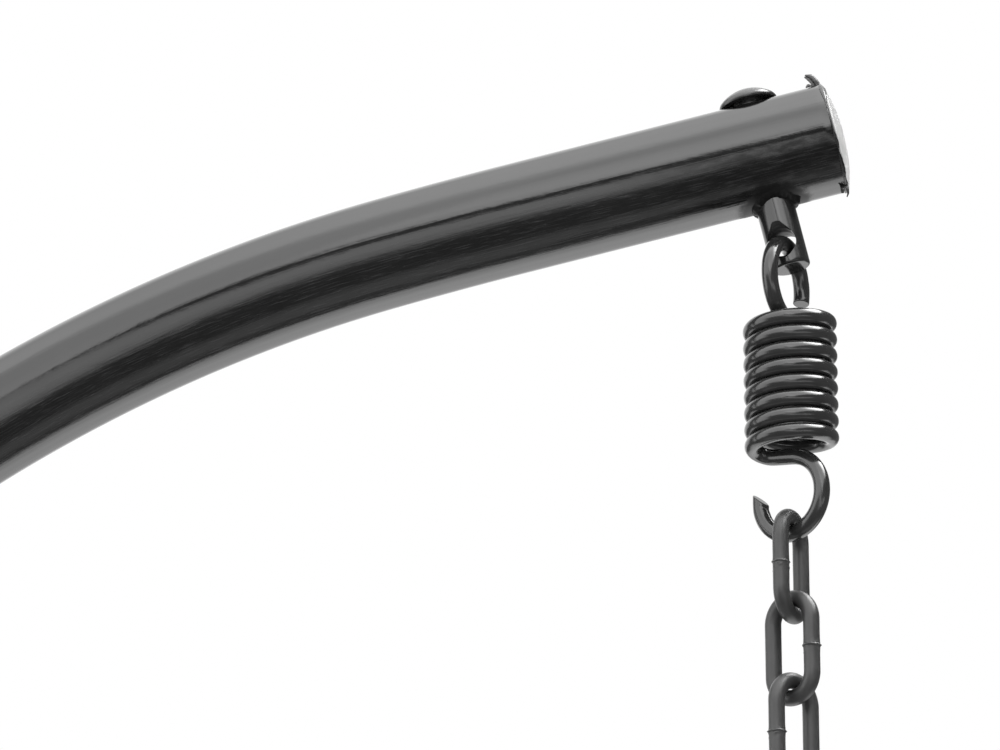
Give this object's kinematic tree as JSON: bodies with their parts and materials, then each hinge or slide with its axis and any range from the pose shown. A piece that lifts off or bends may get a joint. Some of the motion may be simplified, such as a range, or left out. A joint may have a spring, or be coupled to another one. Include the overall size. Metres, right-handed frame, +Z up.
{
  "type": "hanging swing stand arm",
  "caption": "Curved tubular swing-stand arm with an eye pin, a looped extension spring and a welded hanging chain",
  "frame": {"origin": "centre of the arm tube's lower end face, on the axis of the spigot that stands out below it", "axes": "+Z up along the foot of the arm, +X towards the arm's tip, Y across; the spigot leaves along -Z"},
  "size_m": [0.7149, 0.069, 0.851],
  "materials": {
    "arm_coat": "gloss black powder coat on steel tube",
    "weld_coat": "lumpy weld bead under black coat",
    "wire_coat": "satin black coated spring steel wire",
    "chain_coat": "satin black coated welded steel chain",
    "zinc": "bright zinc plated steel",
    "plug_plastic": "pale translucent moulded polyethylene",
    "film": "torn black plastic film"
  },
  "bodies": {
    "arm": {"arm_tube": "arm_coat", "post_spigot": "zinc", "spigot_bolt": "zinc", "spigot_washers": "zinc", "spigot_nut": "zinc", "end_plug": "plug_plastic", "end_film": "film", "eye_pin": "arm_coat", "pin_weld": "weld_coat"},
    "spring_top": {"spring_top_loop": "wire_coat", "spring_coil": "wire_coat"},
    "spring_foot": {"spring_hook": "wire_coat"},
    "link_1": {"chain_link_1": "chain_coat"},
    "link_2": {"chain_link_2": "chain_coat"},
    "link_3": {"chain_link_3": "chain_coat"},
    "link_4": {"chain_link_4": "chain_coat"},
    "link_5": {"chain_link_5": "chain_coat"},
    "link_6": {"chain_link_6": "chain_coat"},
    "link_7": {"chain_link_7": "chain_coat"},
    "link_8": {"chain_link_8": "chain_coat"},
    "link_9": {"chain_link_9": "chain_coat"}
  },
  "joints": [
    {"name": "loop_swing", "type": "hinge", "parent": "arm", "child": "spring_top", "pos_m": [0.6627, 0, 0.69909], "axis": [-0.3633, -0.9317, 0], "range_deg": [-25, 25]},
    {"name": "spring_stretch", "type": "slide", "parent": "spring_top", "child": "spring_foot", "axis": [0, 0, -1], "range_m": [0, 0.015], "stiffness_N_per_m": 84000, "springref_m": -0.0018, "deforming": ["spring_coil"]},
    {"name": "link_1_swing", "type": "hinge", "parent": "spring_foot", "child": "link_1", "pos_m": [0.66285, 0, 0.57009], "axis": [0.8192, -0.5736, 0], "range_deg": [-20, 20]},
    {"name": "link_2_swing", "type": "hinge", "parent": "link_1", "child": "link_2", "pos_m": [0.66275, 0, 0.53459], "axis": [-0.3681, -0.9298, 0], "range_deg": [-20, 20]},
    {"name": "link_3_swing", "type": "hinge", "parent": "link_2", "child": "link_3", "pos_m": [0.66275, 0, 0.49909], "axis": [0.809, -0.5878, 0], "range_deg": [-20, 20]},
    {"name": "link_4_swing", "type": "hinge", "parent": "link_3", "child": "link_4", "pos_m": [0.66275, 0, 0.46359], "axis": [-0.6561, -0.7547, 0], "range_deg": [-20, 20]},
    {"name": "link_5_swing", "type": "hinge", "parent": "link_4", "child": "link_5", "pos_m": [0.66275, 0, 0.42809], "axis": [0.788, -0.6157, 0], "range_deg": [-20, 20]},
    {"name": "link_6_swing", "type": "hinge", "parent": "link_5", "child": "link_6", "pos_m": [0.66275, 0, 0.39259], "axis": [-0.5592, -0.829, 0], "range_deg": [-20, 20]},
    {"name": "link_7_swing", "type": "hinge", "parent": "link_6", "child": "link_7", "pos_m": [0.66275, 0, 0.35709], "axis": [0.866, -0.5, 0], "range_deg": [-20, 20]},
    {"name": "link_8_swing", "type": "hinge", "parent": "link_7", "child": "link_8", "pos_m": [0.66275, 0, 0.32159], "axis": [-0.3746, -0.9272, 0], "range_deg": [-20, 20]},
    {"name": "link_9_swing", "type": "hinge", "parent": "link_8", "child": "link_9", "pos_m": [0.66275, 0, 0.28609], "axis": [0.9703, -0.2419, 0], "range_deg": [-20, 20]}
  ]
}
